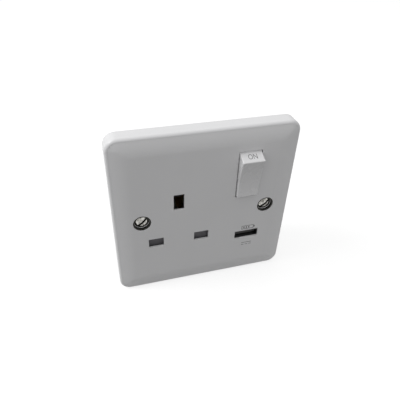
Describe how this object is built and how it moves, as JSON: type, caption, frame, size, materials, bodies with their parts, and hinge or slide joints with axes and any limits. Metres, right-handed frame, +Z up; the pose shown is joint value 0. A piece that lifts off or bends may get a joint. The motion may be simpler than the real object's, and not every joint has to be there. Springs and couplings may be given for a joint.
{
  "type": "usb switched socket",
  "caption": "Square wall plate with shuttered three-pin outlet, rocker switch and USB charging port, held by a screw on each side, wired terminals in a rear housing.",
  "frame": {"origin": "centre of the plate on the plane of its rear rim, midway between the fixing screws", "axes": "+Y into the wall along the fixing screws, +X to the right seen from the front, +Z up"},
  "size_m": [0.086, 0.0378, 0.086],
  "materials": {
    "white_moulding": "satin",
    "rocker_moulding": "gloss",
    "shutter_moulding": "matte",
    "retainer_moulding": "matte",
    "base_moulding": "matte",
    "zinc_steel": "zinc plated",
    "spring_steel": "bright",
    "brass": "stamped",
    "contact_silver": "satin",
    "eyelet_steel": "dark passivated",
    "receptacle_steel": "nickel plated",
    "tongue_plastic": "matte",
    "contact_gold": "gold plated",
    "board_laminate": "solder mask",
    "ferrite": "matte",
    "winding_tape": "tape",
    "capacitor_sleeve": "sleeved",
    "chip_plastic": "moulded",
    "resistor_body": "lacquered"
  },
  "bodies": {
    "root": {"front_plate": "white_moulding", "shutter_spring": "spring_steel", "shutter_retainer": "retainer_moulding", "lever_cradle": "brass", "fixed_contact": "brass", "fixed_contact_tip": "contact_silver", "live_contact": "brass", "neutral_contact": "brass", "earth_contact": "brass", "neutral_terminal": "brass", "earth_terminal": "brass", "live_terminal": "brass", "base_moulding": "base_moulding", "housing_screw_1": "zinc_steel", "housing_screw_2": "zinc_steel", "fixing_screw_left": "zinc_steel", "fixing_screw_right": "zinc_steel", "fixing_eyelet_left": "eyelet_steel", "fixing_eyelet_right": "eyelet_steel", "usb_shell": "receptacle_steel", "usb_tongue": "tongue_plastic", "usb_pin_1": "contact_gold", "usb_pin_2": "contact_gold", "usb_pin_3": "contact_gold", "usb_pin_4": "contact_gold", "usb_board": "board_laminate", "transformer_core": "ferrite", "transformer_winding": "winding_tape", "capacitor_1": "capacitor_sleeve", "capacitor_2": "capacitor_sleeve", "controller_chip": "chip_plastic", "fuse_resistor": "resistor_body"},
    "rocker": {"switch_rocker": "rocker_moulding", "rocker_spring": "spring_steel"},
    "plunger": {"rocker_plunger": "retainer_moulding"},
    "lever": {"contact_lever": "brass", "lever_contact_tip": "contact_silver"},
    "shutter": {"shutter": "shutter_moulding"},
    "neutral_clamp": {"neutral_terminal_screw": "zinc_steel"},
    "earth_clamp": {"earth_terminal_screw": "zinc_steel"},
    "live_clamp": {"live_terminal_screw": "zinc_steel"}
  },
  "joints": [
    {"name": "rocker_tip", "type": "hinge", "parent": "root", "child": "rocker", "pos_m": [0.01955, -0.0044, 0.01925], "axis": [-1, 0, 0], "range_deg": [0, 18]},
    {"name": "plunger_slide", "type": "slide", "parent": "rocker", "child": "plunger", "axis": [0, -0.9877, -0.1564], "range_m": [0, 0.0005], "stiffness_N_per_m": 300, "springref_m": -0.001},
    {"name": "lever_tip", "type": "hinge", "parent": "root", "child": "lever", "pos_m": [0.01955, 0.0093, 0.01925], "axis": [1, 0, 0], "range_deg": [0, 18]},
    {"name": "shutter_lift", "type": "slide", "parent": "root", "child": "shutter", "axis": [0, 0, 1], "range_m": [0, 0.0056], "stiffness_N_per_m": 60, "springref_m": -0.006, "deforming": ["shutter_spring"]},
    {"name": "neutral_clamp_slide", "type": "slide", "parent": "root", "child": "neutral_clamp", "axis": [0, -1, 0], "range_m": [0, 0.0025]},
    {"name": "earth_clamp_slide", "type": "slide", "parent": "root", "child": "earth_clamp", "axis": [0, -1, 0], "range_m": [0, 0.0025]},
    {"name": "live_clamp_slide", "type": "slide", "parent": "root", "child": "live_clamp", "axis": [0, -1, 0], "range_m": [0, 0.0025]}
  ],
  "couplings": [
    {"joint": "lever_tip", "follows": "rocker_tip", "ratio": 1}
  ]
}
